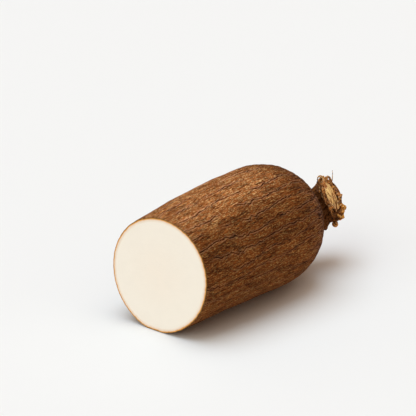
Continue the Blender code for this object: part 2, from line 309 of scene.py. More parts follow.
class StubSettings(PropertyGroup):
    """Colours of the dried base of the vine."""

    neck: FloatVectorProperty(
        name="Neck", description="Colour of the dark bark of the neck",
        default=from_screen(116, 68, 33), size=3, min=0, max=1, subtype="COLOR",
    )
    bark: FloatVectorProperty(
        name="Bark", description="Colour of the bark flakes",
        default=from_screen(212, 130, 56), size=3, min=0, max=1, subtype="COLOR",
    )
    ochre: FloatVectorProperty(
        name="Ochre bark", description="Colour of the brightest lumps of bark on the rim",
        default=from_screen(226, 150, 48), size=3, min=0, max=1, subtype="COLOR",
    )
    edge: FloatVectorProperty(
        name="Bark edge", description="Pale colour of the thin, dry edges of the bark",
        default=from_screen(255, 212, 158), size=3, min=0, max=1, subtype="COLOR",
    )
    wood: FloatVectorProperty(
        name="Broken wood", description="Colour of the broken wood",
        default=from_screen(255, 212, 138), size=3, min=0, max=1, subtype="COLOR",
    )
    streak: FloatVectorProperty(
        name="Wood streaks", description="Colour of the darker streaks of the wood",
        default=from_screen(172, 96, 34), size=3, min=0, max=1, subtype="COLOR",
    )


class StudioSettings(PropertyGroup):
    """Light and floor."""

    key: FloatProperty(
        name="Key light", description="Strength of the soft light from above",
        default=2.0, min=0, max=10,
    )
    cut_side: FloatProperty(
        name="Light on the cut", description="Strength of the soft light that faces the cut",
        default=0.98, min=0, max=10,
    )
    vine_side: FloatProperty(
        name="Light on the vine end", description="Strength of the weaker soft light from the vine's side",
        default=0.53, min=0, max=10,
    )
    surroundings: FloatProperty(
        name="Surroundings", description="Strength of the light from all round",
        default=0.35, min=0, max=3,
    )
    warmth: FloatVectorProperty(
        name="Warmth", description="Colour of the light from all round, which fills the shadows",
        default=(1.0, 0.72, 0.525), size=3, min=0, max=1, subtype="COLOR",
    )
    backdrop: FloatVectorProperty(
        name="Backdrop", description="Colour of the backdrop behind the floor",
        default=(0.93, 0.925, 0.915), size=3, min=0, max=1, subtype="COLOR",
    )
    floor: FloatVectorProperty(
        name="Floor", description="Colour of the floor",
        default=(0.862, 0.85, 0.833), size=3, min=0, max=1, subtype="COLOR",
    )


# Curves and noise


def scaled(colour, share):
    """Three numbers, such as a colour's, each multiplied by a share."""
    return tuple(share * part for part in colour)


def mixed(first, second, share):
    """The colour at a share of the way from the first to the second."""
    return tuple((1 - share) * a + share * b for a, b in zip(first, second))


def smooth_step(value, start, end):
    """From 0 at start to 1 at end: three times the share's square less twice its cube."""
    share = np.clip((value - start) / (end - start), 0, 1)
    return share * share * (3 - 2 * share)


def round_angles(columns):
    """The angles of a ring's points, evenly spread over a full turn."""
    return 2 * np.pi * np.arange(columns) / columns


def wrapped(angle):
    """The same angle, at most half a turn from zero."""
    return np.angle(np.exp(1j * angle))


def bell_round(angle, middle, half_width):
    """From 0 to 1: a bell curve over the angle round a body."""
    return np.exp(-(wrapped(angle - middle) / half_width) ** 2)


def waves(terms, angle, share):
    """Sum of sine waves that run at a slant round and along a turned body."""
    total = np.zeros(np.broadcast(angle, share).shape)
    for size, along, around, phase in terms:
        total = total + size * np.sin(2 * np.pi * along * share + around * angle + phase)
    return total


def lattice_noise(turns, share, cells, seed):
    """Smooth noise from -1 to 1: random numbers on a lattice that closes round the body, joined by smooth
    steps. turns is the angle as a share of a full turn, and cells counts the cells round and along."""
    table = np.random.default_rng(seed).uniform(-1, 1, cells)
    u = turns * cells[0]
    v = share * cells[1]
    i = np.floor(u).astype(int)
    j = np.floor(v).astype(int)
    a = smooth_step(u - i, 0, 1)
    b = smooth_step(v - j, 0, 1)
    corner = [table[(i + p) % cells[0], (j + q) % cells[1]] for p in (0, 1) for q in (0, 1)]
    near = corner[0] * (1 - b) + corner[1] * b
    far = corner[2] * (1 - b) + corner[3] * b
    return near * (1 - a) + far * a


def line_noise(line, share, knots, seed):
    """Noise from -1 to 1 along each of a set of lines: random knots joined by steps, so that it goes on in
    stretches."""
    table = np.random.default_rng(seed).uniform(-1, 1, (FURROWS, knots + 2))
    place = share * knots
    knot = np.floor(place).astype(int)
    step = smooth_step(place - knot, 0.15, 0.85)
    line = line.astype(int) % FURROWS
    return table[line, knot] * (1 - step) + table[line, knot + 1] * step


# The tuber's shape


def belly_radius(share):
    """Radius at a share of the length, before the end is rounded off: it swells like a sine wave."""
    return CUT_RADIUS * (1 + SWELL * np.sin(0.5 * np.pi * share / BELLY_AT))


def body_radius(share):
    """The belly radius, closed at the vine end by a superellipse."""
    along = np.clip((share - SHOULDER_START) / (1 - SHOULDER_START), 0, 1)
    return belly_radius(share) * (1 - along**SHOULDER_POWER) ** (1 / SHOULDER_POWER)


def furrow_strength(furrow, share):
    """From 0 to 1: each furrow deepens and fades along its own length, as a sine wave with its own beat."""
    beat = np.sin(2 * np.pi * (1.7 + 0.5 * np.sin(2.4 * furrow)) * share + 2.1 * furrow)
    return 0.62 + 0.38 * beat


def crack_beside(turns, share, step):
    """Distance to the crack of the furrow line before a point, or with step 1 of the line after it, and the
    crack's strength and its furrow's number. turns counts furrows round the body. A crack strays from its
    line in steps; it is strong in some stretches and gone in others."""
    before = np.floor(turns)
    spacing = 2 * np.pi * body_radius(share) / FURROWS
    furrow = (before + step) % FURROWS
    stray = 0.55 * line_noise(furrow, share, 17, 31) + 0.5 * line_noise(furrow, share, 53, 32)
    distance = (turns - before - step - STRAY * stray) * spacing
    presence = line_noise(furrow, share, 7, 33) + 0.45 * line_noise(furrow, share, 17, 34)
    strength = smooth_step(presence + 0.7 * (furrow_strength(furrow, share) - 0.5), -1.05, 0.0)
    return distance, strength, furrow


def nearest_crack(angle, share):
    """Distance to the nearest crack, its strength and its furrow's number, at each point of the skin. Cracks
    are weaker on the underside, by a smooth step of the angle's sine."""
    turns = angle / (2 * np.pi) * FURROWS
    before, after = crack_beside(turns, share, 0), crack_beside(turns, share, 1)
    nearer = np.abs(after[0]) < np.abs(before[0])
    distance, strength, furrow = (np.where(nearer, b, a) for a, b in zip(before, after))
    return distance, strength * (0.62 + 0.38 * smooth_step(np.sin(angle), -0.35, 0.5)), furrow


def skin_relief(angle, turned_angle, share, look):
    """Height of the skin over the plain body, and the crack's signed distance and strength.
    The height is the sum of low lumps, crests, a broad furrow, a narrow crack at its bottom (a bell curve),
    a lip along the crack's lower side (another bell curve beside it) and a fine roughness. It fades towards
    the floor and the tip."""
    distance, strength, furrow = nearest_crack(angle, share)
    lower_side = -np.cos(turned_angle) / (np.abs(np.cos(turned_angle)) + 0.15)
    downhill = distance * np.sign(lower_side)
    width = 1.3 * look.crack_width
    broad = np.clip(1 - np.abs(distance) / FURROW_HALF_WIDTH, 0, 1) ** 1.3
    crack = np.exp(-((distance / width) ** 2)) * strength
    lip = np.exp(-(((downhill - 2.1 * width) / (1.1 * width)) ** 2)) * strength * np.abs(lower_side)
    turns = angle / (2 * np.pi)
    fine = 0.5 * lattice_noise(turns, share, COARSE_CELLS, 41)
    fine = fine + 0.35 * lattice_noise(turns, share, FINE_CELLS, 42)
    narrowing = body_radius(share) / belly_radius(share)
    crest = waves(CREST_WAVES, turned_angle, share) + ROUGH_HEIGHT * fine
    lump = waves(LUMP_WAVES, turned_angle, share)
    cut_by = look.furrow_depth * furrow_strength(furrow, share) * broad
    cut_by = cut_by + look.crack_depth * crack - look.lip_height * lip
    from_bottom = np.abs(wrapped(turned_angle + 0.5 * np.pi))
    kept = smooth_step(from_bottom, STRIP_HALF_ANGLE, STRIP_FADE_ANGLE)
    from_cut = RELIEF_AT_CUT + (1 - RELIEF_AT_CUT) * smooth_step(share, 0, CALM_AT_CUT)
    height = kept * ((crest - cut_by) * np.sqrt(narrowing) * from_cut + lump * narrowing)
    return height, downhill, strength * smooth_step(np.abs(distance), 4.5 * MM, 3.2 * MM)


def upper_side(turned_angle, share):
    """From 0 to 1: how far a point lies on the upper side, which is left lighter as painted light from
    above, while the rest gets painted shade. It is a smooth step of the angle's sine, which ends it down the
    sides, times one along the length, which ends it at the shoulder."""
    return smooth_step(np.sin(turned_angle), 0.64, 1.03) * (1 - smooth_step(share, 0.55, 0.85))


def dark_side(turned_angle, share):
    """From 0 to 1: painted shade in a band just under the upper side, where the light falls off, and more of
    it beside the vine stub, whose neck shades the skin there. Both are bell curves over the angle."""
    band = bell_round(turned_angle, PAINTED_SHADE_ANGLE, math.radians(13)) * (1 - smooth_step(share, 0.7, 0.85))
    by_vine = bell_round(turned_angle, PAINTED_SHADE_ANGLE, math.radians(24)) * smooth_step(share, 0.8, 0.9)
    return 0.22 * band + 0.55 * by_vine


def lay_on_floor(radius, turned_angle, share):
    """Places points of the standing body on the floor: the rings lean with the oblique cut near it, and
    what would sink into the floor is flattened onto it."""
    across = radius * np.cos(turned_angle)
    upward = radius * np.sin(turned_angle)
    lean = np.clip(1 - share / CUT_REACH, 0, None) ** 1.3
    oblique = across * math.tan(CUT_TURN) - upward * math.tan(CUT_LEAN) / math.cos(CUT_TURN)
    x = share * BODY_LENGTH - BODY_LENGTH / 2 - oblique * lean
    z = np.maximum(upward + belly_radius(share) - REST_DEPTH, 0)
    return np.stack([x, across, z], -1)


# Meshes


def closed_skin(rings, start=None):
    """Points and faces of a closed body over rings of points, an array of (rings, columns, 3).
    Neighbouring rings are joined by four-sided faces, each end ring by a fan to its middle or to start, and
    the faces are turned round where the body's signed volume comes out negative."""
    count, columns, _ = rings.shape
    start = rings[0].mean(0) if start is None else start
    points = np.concatenate([rings.reshape(-1, 3), [start], [rings[-1].mean(0)]])
    here = np.arange(columns)
    beside = np.roll(here, -1)
    base = np.arange(count - 1)[:, None] * columns
    quads = np.stack([base + here, base + beside, base + columns + beside, base + columns + here], -1)
    quads = quads.reshape(-1, 4)
    last = (count - 1) * columns
    first_fan = np.stack([np.full(columns, count * columns), beside, here], -1)
    last_fan = np.stack([np.full(columns, count * columns + 1), last + here, last + beside], -1)
    fans = np.concatenate([first_fan, last_fan])
    halves = np.concatenate([quads[:, [0, 1, 2]], quads[:, [0, 2, 3]], fans])
    a, b, c = (points[halves[:, i]] for i in range(3))
    if np.einsum("ij,ij->i", a, np.cross(b, c)).sum() < 0:
        quads = quads[:, ::-1]
        fans = fans[:, ::-1]
    return {"points": points, "quads": quads, "fans": fans, "values": {}}


def with_values(body, **values):
    """Adds values at the body's points: arrays over its rings. Each end point gets the mean of the ring
    beside it."""
    for name, value in values.items():
        flat = value.reshape(-1, *value.shape[2:])
        ends = [value[0].mean(0), value[-1].mean(0)]
        body["values"][name] = np.concatenate([flat, ends])
    return body


def put_in_scene(name, bodies, materials, replaced, material_of=None):
    """One object from closed bodies, with their values as attributes. It rides on the part's only body and
    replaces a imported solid. material_of numbers each face's material where there is more than one."""
    points = np.concatenate([body["points"] for body in bodies])
    offsets = np.cumsum([0] + [len(body["points"]) for body in bodies[:-1]])
    faces = []
    for body, offset in zip(bodies, offsets):
        faces += (body["quads"] + offset).tolist() + (body["fans"] + offset).tolist()
    mesh = bpy.data.meshes.new(name)
    mesh.from_pydata(points.tolist(), [], faces)
    for key in bodies[0]["values"]:
        value = np.concatenate([body["values"][key] for body in bodies])
        vector = value.ndim == 2
        attribute = mesh.attributes.new(key, "FLOAT_VECTOR" if vector else "FLOAT", "POINT")
        attribute.data.foreach_set("vector" if vector else "value", value.astype(np.float32).ravel())
    for material in materials:
        mesh.materials.append(material)
    if material_of is not None:
        mesh.polygons.foreach_set("material_index", material_of)
    mesh.shade_smooth()
    mesh.validate()
    mesh.update()
    piece = bpy.data.objects.new(name, mesh)
    bpy.context.scene.collection.objects.link(piece)
    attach(piece, "root")
    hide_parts(replaced)
    return piece


# Materials


class Recipe:
    """A material's nodes while it is put together."""

    def __init__(self, name):
        self.material = bpy.data.materials.new(name)
        self.material.use_nodes = True
        self.tree = self.material.node_tree
        self.tree.nodes.clear()

    def add(self, kind, settings=None, inputs=None, output=0):
        """Adds a node: its settings, then values or links for its sockets. Gives one of its outputs."""
        node = self.tree.nodes.new(kind)
        for name, value in (settings or {}).items():
            setattr(node, name, value)
        for key, value in (inputs or {}).items():
            if isinstance(value, Wire):
                self.tree.links.new(value.socket, node.inputs[key])
            else:
                node.inputs[key].default_value = value
        return Wire(self, node.outputs[output])

    def number(self, name):
        """A number kept at the points of the mesh."""
        return self.add("ShaderNodeAttribute", {"attribute_name": name}, output=2)

    def vector(self, name):
        """A vector kept at the points of the mesh."""
        return self.add("ShaderNodeAttribute", {"attribute_name": name}, output=1)

    def stretched(self, vector, cell):
        """The vector measured in cells of the given sizes along its three axes."""
        scale = tuple(1 / size for size in cell)
        return self.add("ShaderNodeMapping", {"vector_type": "POINT"}, {"Vector": vector, "Scale": scale})

    def noise(self, vector, cell, detail=2.0, rough=0.5):
        """Cloudy noise, about 0.5 on average, with features of the given sizes."""
        placed = self.stretched(vector, cell)
        return self.add(
            "ShaderNodeTexNoise", {"noise_dimensions": "3D"},
            {"Vector": placed, "Scale": 1.0, "Detail": detail, "Roughness": rough},
        )

    def swayed(self, vector, cell, reach):
        """The vector moved about by a noise of the given feature sizes, by up to half of reach."""
        placed = self.stretched(vector, cell)
        cloud = self.add(
            "ShaderNodeTexNoise", {"noise_dimensions": "3D"},
            {"Vector": placed, "Scale": 1.0, "Detail": 2.0}, output=1,
        )
        middle = (0.5, 0.5, 0.5)
        centred = self.add("ShaderNodeVectorMath", {"operation": "SUBTRACT"}, {0: cloud, 1: middle})
        return self.add(
            "ShaderNodeVectorMath", {"operation": "MULTIPLY_ADD"}, {0: centred, 1: reach, 2: vector}
        )

    def rise(self, value, low, high):
        """A smooth step from 0 at low to 1 at high, or from 1 down to 0 where low is the greater."""
        return self.add(
            "ShaderNodeMapRange", {"interpolation_type": "SMOOTHSTEP", "clamp": True},
            {"Value": value, "From Min": low, "From Max": high, "To Min": 0.0, "To Max": 1.0},
        )

    def blend(self, share, first, second, kind="MIX"):
        """Mixes two colours; share 0 gives the first."""
        first, second = ((*c, 1) if isinstance(c, tuple) else c for c in (first, second))
        return self.add(
            "ShaderNodeMix", {"data_type": "RGBA", "blend_type": kind, "clamp_factor": True},
            {0: share, 6: first, 7: second}, output=2,
        )

    def finish(self, colour, roughness, height, specular):
        """Ends the material in one Principled shader. The height is in millimetres, or None."""
        inputs = {"Base Color": colour, "Roughness": roughness, "Specular IOR Level": specular}
        if height is not None:
            relief = {"Height": height, "Distance": MM, "Strength": 1.0}
            inputs["Normal"] = self.add("ShaderNodeBump", inputs=relief)
        shader = self.add("ShaderNodeBsdfPrincipled", inputs=inputs)
        end = self.tree.nodes.new("ShaderNodeOutputMaterial")
        self.tree.links.new(shader.socket, end.inputs["Surface"])
        return self.material


class Wire:
    """A shader socket that takes part in sums: each operator adds a Math node."""

    def __init__(self, recipe, socket):
        self.recipe = recipe
        self.socket = socket

    def maths(self, operation, first, second):
        """A Math node over two numbers, each a plain value or a socket."""
        return self.recipe.add("ShaderNodeMath", {"operation": operation}, {0: first, 1: second})

    def __add__(self, other):
        return self.maths("ADD", self, other)

    def __radd__(self, other):
        return self.maths("ADD", other, self)

    def __sub__(self, other):
        return self.maths("SUBTRACT", self, other)

    def __rsub__(self, other):
        return self.maths("SUBTRACT", other, self)

    def __mul__(self, other):
        return self.maths("MULTIPLY", self, other)

    def __rmul__(self, other):
        return self.maths("MULTIPLY", other, self)


def skin_material(look):
    """Dry yam skin: painted light on top and painted shade round the sides and in a band just under the top,
    with lengthwise fibres, streaks, scurf, fine cracks, dark main cracks with pale lips, partly painted
    highlight, and rosy ridges towards the vine. A fine crack shows where the square of a noise about zero
    is small, and a main crack where its squared distance is."""
    recipe = Recipe("yam_skin_dry")
    grain = recipe.vector("grain")
    downhill = recipe.number("crack_side")
    strength = recipe.number("crack_strength")
    upper = recipe.number("upper_side")
    shoulder = recipe.number("shoulder")
    base, dark, light, lip_highlight_colour = (tuple(c) for c in (look.base, look.dark, look.light, look.lip))
    deep = scaled(dark, 0.5)
    swayed = recipe.swayed(grain, (9 * MM, 9 * MM, 22 * MM), (3.5 * MM, 3.5 * MM, 0.0))
    fibres = recipe.noise(swayed, (0.58 * MM, 0.58 * MM, 6.5 * MM), 0.7, 0.6)
    scurf = recipe.noise(swayed, (0.58 * MM, 0.58 * MM, 2.2 * MM), 0.7, 0.6)
    streaks = recipe.noise(swayed, (1.5 * MM, 1.5 * MM, 20 * MM), 2.0, 0.6)
    jags = recipe.noise(grain, (2.0 * MM, 2.0 * MM, 2.2 * MM), 1.0, 0.6)
    patches = recipe.noise(grain, (11 * MM, 11 * MM, 24 * MM), 2.0)
    stretches = recipe.noise(grain, (6 * MM, 6 * MM, 14 * MM), 1.0)
    line = recipe.noise(swayed, (2.4 * MM, 2.4 * MM, 20 * MM), 3.0, 0.5) - 0.5
    fine_line = recipe.noise(swayed, (1.2 * MM, 1.2 * MM, 7 * MM), 2.0, 0.6) - 0.5
    in_stretches = recipe.rise(stretches, 0.42, 0.56) * (1 - shoulder) + shoulder
    side_cracks = recipe.rise(line * line, 0.0022, 0.0) * in_stretches
    fine_cracks = recipe.rise(fine_line * fine_line, 0.003, 0.0)
    frayed = downhill + (fibres - 0.5) * (0.5 * MM) + (jags - 0.5) * (1.1 * MM)
    off_crack = frayed * frayed
    width = look.crack_width
    main_crack = recipe.rise(off_crack, (0.95 * width) ** 2, 0.0) * strength
    lip_and_highlight = recipe.rise(off_crack, (1.1 * width) ** 2, (2.0 * width) ** 2) * strength
    lip_and_highlight = lip_and_highlight * recipe.rise(off_crack, (3.8 * width) ** 2, (2.4 * width) ** 2)
    colour = recipe.blend(recipe.rise(fibres, 0.33, 0.6), mixed(dark, base, 0.4), base)
    dusty = recipe.rise(scurf + (streaks - 0.5) * 0.35, 0.49, 0.74)
    colour = recipe.blend(dusty, colour, light)
    colour = recipe.blend(recipe.rise(streaks, 0.5, 0.36) * 0.18, colour, dark)
    colour = recipe.blend(recipe.rise(patches, 0.4, 0.65) * 0.2, colour, dark)
    colour = recipe.blend(fine_cracks * (shoulder * 0.35 + 0.4), colour, dark)
    # painted highlight: the raised lip on the lower side of each crack is made paler, as where light falls
    # on it
    colour = recipe.blend(lip_and_highlight * 0.45, colour, lip_highlight_colour)
    colour = recipe.blend(side_cracks * (shoulder * 0.3 + 0.65), colour, dark)
    colour = recipe.blend(main_crack * 0.9, colour, deep)
    # painted shade: away from the painted light on top, the colour is multiplied by the shade colour
    lower = recipe.rise(upper + (patches - 0.5) * 0.5, 1.0, 0.0)
    colour = recipe.blend(lower, colour, tuple(look.shade), "MULTIPLY")
    # painted shade: a dark band under the top, and more of it beside the vine stub
    colour = recipe.blend(recipe.number("dark_side"), colour, deep)
    ridges = recipe.rise(fine_line, 0.02, 0.12) * shoulder
    rosy = ridges * 0.5 + dusty * lower * 0.05 + lip_and_highlight * lower * 0.14
    colour = recipe.blend(rosy, colour, tuple(look.rosy))
    height = fibres * 0.7 + scurf * 0.55 - fine_cracks * 0.15 - side_cracks * 0.3 - main_crack * 0.4
    return recipe.finish(colour, 0.85, height + lip_and_highlight * 0.1, 0.03)


def flesh_material(look):
    """Cut flesh: nearly even cream, a little pinker in the middle, with the peel as a line round it."""
    recipe = Recipe("yam_flesh_cut")
    place = recipe.add("ShaderNodeTexCoord", output=3)
    inset = recipe.number("inset")
    flesh, heart, peel = (tuple(c) for c in (look.flesh, look.heart, look.peel))
    width = look.peel_width
    cloud = recipe.noise(place, (9 * MM, 9 * MM, 9 * MM), 2.0)
    waver = recipe.noise(place, (3 * MM, 3 * MM, 3 * MM), 2.0)
    depth = inset + (waver - 0.5) * (0.9 * MM)
    colour = recipe.blend(recipe.rise(inset, 12 * MM, 42 * MM), flesh, heart)
    colour = recipe.blend(recipe.rise(cloud, 0.4, 0.7) * 0.25, colour, scaled(flesh, 0.965))
    colour = recipe.blend(recipe.rise(depth, 2.4 * width, 1.0 * width), colour, mixed(flesh, peel, 0.28))
    colour = recipe.blend(recipe.rise(depth, 1.15 * width, 0.5 * width), colour, peel)
    colour = recipe.blend(recipe.rise(depth, 0.42 * width, 0.2 * width), colour, scaled(peel, 0.22))
    pores = recipe.noise(place, (0.8 * MM, 0.8 * MM, 0.8 * MM), 2.0)
    return recipe.finish(colour, 0.5, pores * 0.12 + cloud * 0.3, 0.35)


def bark_material(look):
    """Bark of the stub: dark on the neck, tan to orange towards the rim, pale on the thin edges."""
    recipe = Recipe("vine_bark_dry")
    grain = recipe.vector("grain")
    tone = recipe.number("tone")
    thin = recipe.number("thin")
    neck, bark, edge = (tuple(c) for c in (look.neck, look.bark, look.edge))
    fibres = recipe.noise(grain, (0.7 * MM, 0.7 * MM, 5 * MM), 3.0, 0.6)
    patches = recipe.noise(grain, (3.2 * MM, 3.2 * MM, 5 * MM), 2.0)
    pits = recipe.noise(grain, (1.5 * MM, 1.5 * MM, 1.9 * MM), 1.0)
    crumbs = recipe.noise(grain, (0.9 * MM, 0.9 * MM, 1.1 * MM), 3.0, 0.7)
    mottled = tone + (patches - 0.5) * 2.0
    # a low tone gives the neck's dark colour; the tone also carries painted shade in the hollows and on the
    # near side
    colour = recipe.blend(recipe.rise(mottled, 0.2, 0.75), neck, bark)
    colour = recipe.blend(recipe.rise(tone, 0.85, 1.0), colour, tuple(look.ochre))
    colour = recipe.blend(recipe.rise(crumbs, 0.46, 0.62) * 0.6 * tone, colour, edge)
    colour = recipe.blend(recipe.rise(thin + (fibres - 0.5) * 0.6, 0.45, 0.95) * 0.85, colour, edge)
    deep = scaled(neck, 0.16)
    colour = recipe.blend(recipe.rise(fibres, 0.5, 0.3) * 0.75, colour, deep)
    colour = recipe.blend(recipe.rise(pits, 0.47, 0.36) * 0.9, colour, deep)
    return recipe.finish(colour, 0.8, fibres * 0.7 + crumbs * 0.4, 0.05)


def wood_material(look):
    """Broken wood: pale gold with darker streaks along the torn fibres, and painted shade where its tone is
    low.
    """
    recipe = Recipe("vine_wood_broken")
    grain = recipe.vector("grain")
    tone = recipe.number("tone")
    wood, streak = tuple(look.wood), tuple(look.streak)
    swayed = recipe.swayed(grain, (3 * MM, 5 * MM, 5 * MM), (1.2 * MM, 2 * MM, 1 * MM))
    fibres = recipe.noise(swayed, (1.1 * MM, 10 * MM, 2 * MM), 1.5, 0.6)
    broad = recipe.noise(swayed, (2.8 * MM, 16 * MM, 3 * MM), 1.0)
    colour = recipe.blend(recipe.rise(fibres * 0.6 + broad * 0.5, 0.61, 0.49), wood, streak)
    colour = recipe.blend(recipe.rise(fibres, 0.47, 0.38) * 0.8, colour, scaled(streak, 0.4))
    # painted shade: where the tone is low, in the wood's hollows, down its side and at its near edge, it
    # darkens
    colour = recipe.blend(recipe.rise(tone, 0.55, 0.05), colour, scaled(streak, 0.3))
    return recipe.finish(colour, 0.5, fibres * 0.7 + broad * 0.5, 0.2)


# The tuber


def grain_of(turned_angle, along):
    """Coordinates that follow the skin: a cylinder of the belly's radius, with the length along the skin as
    its third axis, so that a pattern has no seam and runs in towards the tip."""
    radius = CUT_RADIUS * (1 + SWELL)
    return np.stack([radius * np.cos(turned_angle), radius * np.sin(turned_angle), along], -1)


def tuber_shares():
    """Shares of the length at which the wall has its rings: evenly spread along the belly, and following a
    sine, closer and closer together, where it rounds off."""
    wall = np.linspace(BEVEL / BODY_LENGTH, SHOULDER_START, WALL_RINGS, endpoint=False)
    stop = math.asin((SHOULDER_STOP - SHOULDER_START) / (1 - SHOULDER_START))
    shoulder = SHOULDER_START + (1 - SHOULDER_START) * np.sin(np.linspace(0, stop, SHOULDER_RINGS))
    return np.concatenate([wall, shoulder])


def make_tuber_body(look):
    """The tuber's closed skin: rings from the middle of the cut out to its rim, then along the wall to the
    tip. The rings of the cut are its rim, drawn in towards the middle."""
    angle = round_angles(COLUMNS)
    share = tuber_shares()[:, None]
    turned_angle = angle + waves(WANDER_WAVES, angle, share)
    height, downhill, strength = skin_relief(angle, turned_angle, share, look)
    wall = lay_on_floor(body_radius(share) + height, turned_angle, share)
    steps = np.hypot(np.diff(share, axis=0) * BODY_LENGTH, np.diff(body_radius(share), axis=0))
    along = np.concatenate([np.zeros((1, 1)), np.cumsum(steps, axis=0)])
    along = np.broadcast_to(along, turned_angle.shape)
    rim_angle = angle + waves(WANDER_WAVES, angle, 0 * angle)
    rim_height = skin_relief(angle, rim_angle, 0 * angle, look)[0]
    rim = lay_on_floor(CUT_RADIUS + rim_height, rim_angle, 0 * angle)
    middle = lay_on_floor(0.0, 0.0, 0.0)
    inset = np.array(FACE_INSETS)[::-1, None] * MM
    inward = (inset / CUT_RADIUS)[..., None]
    face = rim * (1 - inward) + middle * inward
    face_inset = np.broadcast_to(inset, face.shape[:2])
    body = closed_skin(np.concatenate([face, wall]), middle)
    zeros = np.zeros(face.shape[:2])
    shoulder = np.broadcast_to(smooth_step(share, 0.68, 0.9), wall.shape[:2])
    face_grain = grain_of(np.broadcast_to(rim_angle, zeros.shape), -face_inset)
    return with_values(
        body,
        grain=np.concatenate([face_grain, grain_of(turned_angle, along)]),
        crack_side=np.concatenate([zeros, downhill]),
        crack_strength=np.concatenate([zeros, strength]),
        inset=np.concatenate([face_inset, np.zeros(wall.shape[:2])]),
        upper_side=np.concatenate([zeros, upper_side(turned_angle, share)]),
        dark_side=np.concatenate([zeros, dark_side(turned_angle, share)]),
        shoulder=np.concatenate([zeros, shoulder]),
    )


class TuberOperator(Operator):
    """Makes the tuber: its rough skin and the cut face, as one closed body."""

    bl_idname = "yam.make_tuber"
    bl_label = "Make Tuber"

    def execute(self, context):
        look = context.scene.yam_skin
        body = make_tuber_body(look)
        quads = len(body["quads"])
        on_face = np.zeros(quads + len(body["fans"]), int)
        on_face[:len(FACE_INSETS) * COLUMNS] = 1
        on_face[quads:quads + COLUMNS] = 1
        materials = [skin_material(look), flesh_material(context.scene.yam_flesh)]
        piece = put_in_scene("yam_tuber", [body], materials, "tuber", on_face)
        piece.data.set_sharp_from_angle(angle=SHARP_FROM)
        return {"FINISHED"}


# The vine stub


def foot_drop(height):
    """How far below the head's axis the stub's middle lies at a height along it: a smooth step."""
    return FOOT_DROP * (1 - smooth_step(height, FOOT_CLEAR_AT, FOOT_LEVEL_AT))


def bent_over(points):
    """Bends the straight stub over to one side: its cross-sections turn more and more along an arc."""
    aim = np.array([math.cos(BEND_TOWARDS), math.sin(BEND_TOWARDS)])
    square = np.array([-aim[1], aim[0]])
    forward = points[..., :2] @ aim
    sideways = points[..., :2] @ square
    height = points[..., 2]
    arc_radius = (BEND_TO - BEND_FROM) / BEND
    turn = np.clip(height - BEND_FROM, 0, BEND_TO - BEND_FROM) / arc_radius
    beyond = np.maximum(height - BEND_TO, 0)
    reach = arc_radius - (arc_radius - forward) * np.cos(turn) + beyond * np.sin(turn)
    rise = np.minimum(height, BEND_FROM) + (arc_radius - forward) * np.sin(turn) + beyond * np.cos(turn)
    return np.concatenate([reach[..., None] * aim + sideways[..., None] * square, rise[..., None]], -1)


def on_tip(points):
    """Bends points of the upright, straight stub and lays them on the tuber's tip."""
    tip = Vector((BODY_LENGTH / 2, 0, float(belly_radius(1.0)) - REST_DEPTH))
    turn = Matrix.Rotation(STUB_TURN, 4, "Z") @ Matrix.Rotation(math.radians(90) - STUB_RISE, 4, "Y")
    place = np.array(Matrix.Translation(tip) @ turn)
    return bent_over(points) @ place[:3, :3].T + place[:3, 3]


def turned_points(radius, angle, height):
    """Points at an angle, radius and height about the upright axis."""
    return np.stack(np.broadcast_arrays(radius * np.cos(angle), radius * np.sin(angle), height), -1)


def spun(points, angle):
    """Points turned by an angle about the upright axis."""
    c, s = math.cos(angle), math.sin(angle)
    return points @ np.array([[c, s, 0], [-s, c, 0], [0, 0, 1]])


def near_side(angle):
    """From 0 to 1: how near an angle is to the side that the head is bent towards, as a bell curve."""
    return bell_round(angle, NEAR_SIDE, math.radians(58))


def away_side(angle):
    """From 0 to 1: how near an angle is to the side away from the cut, as a bell curve."""
    return bell_round(angle, AWAY_SIDE, math.radians(55))


def rim_gap(angle):
    """From 0 to 1: how near an angle is to the hollow in the rim, as a bell curve; the hollow gets painted
    shade.
    """
    return bell_round(angle, RIM_GAP, math.radians(24))


def rim_dip(angle):
    """From 0 to 1: how near an angle is to the dip in the rim beside the scroll, as a bell curve."""
    return bell_round(angle, RIM_DIP, math.radians(24))


def rim_lift(angle):
    """How far the rim stands above its mean height: waves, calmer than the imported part's, less the worn
    near side and the dip."""
    worn = NEAR_WORN * near_side(angle) + DIP_DEPTH * rim_dip(angle)
    return 0.6 * waves(RAGGED_WAVES, angle, 1.0) + 0.8 * MM - worn


def bark_profile():
    """The bark's outline from foot to rim and down into the gap round the wood, as radii and heights of as
    many points as it has rings, evenly spread along straight lines between its corners."""
    corners = np.array([
        (NECK_RADIUS, -0.6 * TENON_DEPTH),
        (NECK_RADIUS, FOOT_CLEAR_AT),
        (NECK_RADIUS, COLLAR_AT - 2.5 * MM),
        (NECK_RADIUS, COLLAR_AT),
        (0.96 * NECK_RADIUS, COLLAR_AT + 2.5 * MM),
        (0.98 * NECK_RADIUS, HEAD_AT - 7 * MM),
        (0.90 * HEAD_RADIUS, HEAD_AT - 4 * MM),
        (HEAD_RADIUS, HEAD_AT - 1 * MM),
        (HEAD_RADIUS, RIM_AT - 2.5 * MM),
        (0.93 * HEAD_RADIUS, RIM_AT),
        (0.84 * HEAD_RADIUS, RIM_AT - 0.5 * MM),
        (0.80 * HEAD_RADIUS, HOLLOW_AT + 2 * MM),
        (0.76 * HEAD_RADIUS, HOLLOW_AT - 1 * MM),
        (0.3 * HEAD_RADIUS, HOLLOW_AT - 1 * MM),
    ])
    steps = np.hypot(*np.diff(corners, axis=0).T)
    length = np.concatenate([[0], np.cumsum(steps)])
    place = np.linspace(0, length[-1], BARK_RINGS)
    return np.interp(place, length, corners[:, 0]), np.interp(place, length, corners[:, 1])


